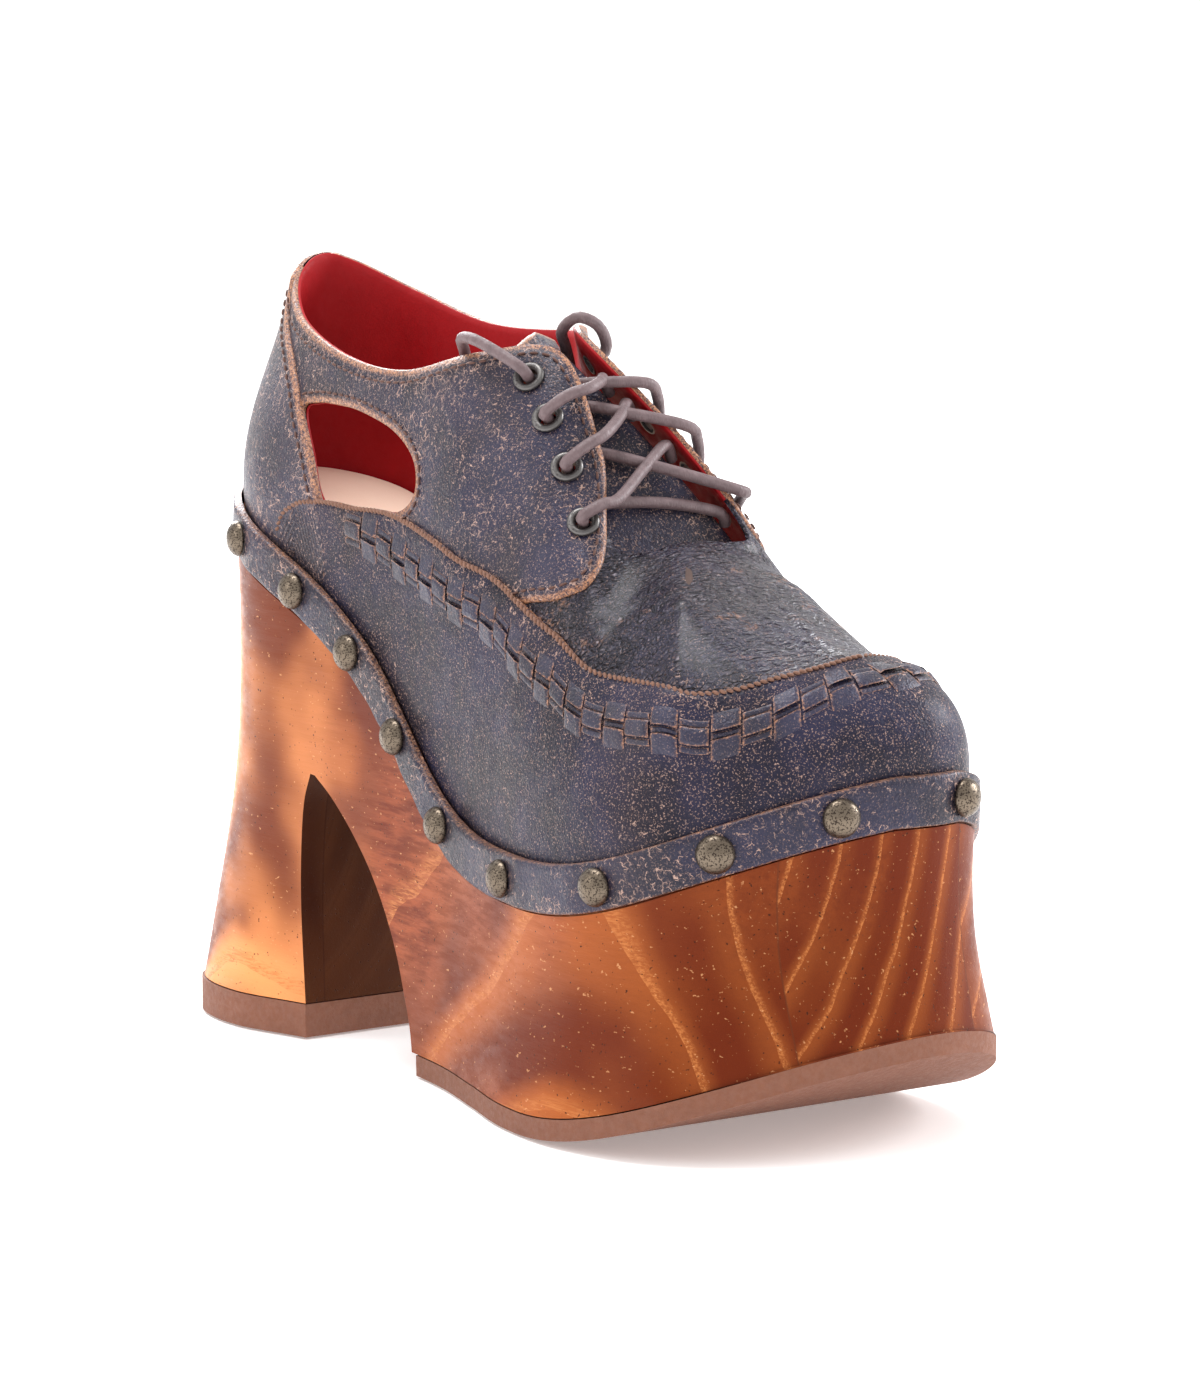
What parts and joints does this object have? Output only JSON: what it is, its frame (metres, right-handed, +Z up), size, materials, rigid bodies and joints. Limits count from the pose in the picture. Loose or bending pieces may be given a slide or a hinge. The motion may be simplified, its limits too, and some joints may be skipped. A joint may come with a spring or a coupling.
{
  "type": "platform shoe",
  "caption": "Lace-up leather shoe with side cut-outs and a woven apron seam, nailed round its rim to a tall arched wooden platform with a flared heel",
  "frame": {"origin": "middle of the footprint, on the floor", "axes": "+X toward the toe, +Y toward the medial side of this right shoe, +Z up"},
  "size_m": [0.2496, 0.101, 0.1844],
  "materials": {
    "wood": "stained and satin varnished pine",
    "rubber": "matt brown",
    "insole_leather": "smooth natural",
    "rand_leather": "worn dark leather",
    "upper_leather": "worn dark leather, waxed",
    "tongue_leather": "worn dark leather",
    "antique_brass": "antique",
    "eyelet_metal": "dark antique",
    "lace_cord": "round waxed cord"
  },
  "bodies": {
    "root": {"platform": "wood", "outsole_forefoot": "rubber", "heel_lift": "rubber", "insole": "insole_leather", "rand": "rand_leather", "stud_01": "antique_brass", "stud_02": "antique_brass", "stud_03": "antique_brass", "stud_04": "antique_brass", "stud_05": "antique_brass", "stud_06": "antique_brass", "stud_07": "antique_brass", "stud_08": "antique_brass", "stud_09": "antique_brass", "stud_10": "antique_brass", "stud_11": "antique_brass", "stud_12": "antique_brass", "stud_13": "antique_brass", "stud_14": "antique_brass", "stud_15": "antique_brass", "stud_16": "antique_brass", "stud_17": "antique_brass", "stud_18": "antique_brass", "stud_19": "antique_brass", "stud_20": "antique_brass", "upper": "upper_leather", "tongue": "tongue_leather", "eyelet_lateral_1": "eyelet_metal", "eyelet_lateral_2": "eyelet_metal", "eyelet_lateral_3": "eyelet_metal", "eyelet_lateral_4": "eyelet_metal", "eyelet_medial_1": "eyelet_metal", "eyelet_medial_2": "eyelet_metal", "eyelet_medial_3": "eyelet_metal", "eyelet_medial_4": "eyelet_metal", "lace_bar": "lace_cord", "lace_crossing_1": "lace_cord", "lace_crossing_2": "lace_cord", "lace_crossing_3": "lace_cord", "lace_end_lateral": "lace_cord", "lace_end_medial": "lace_cord"}
  },
  "joints": []
}
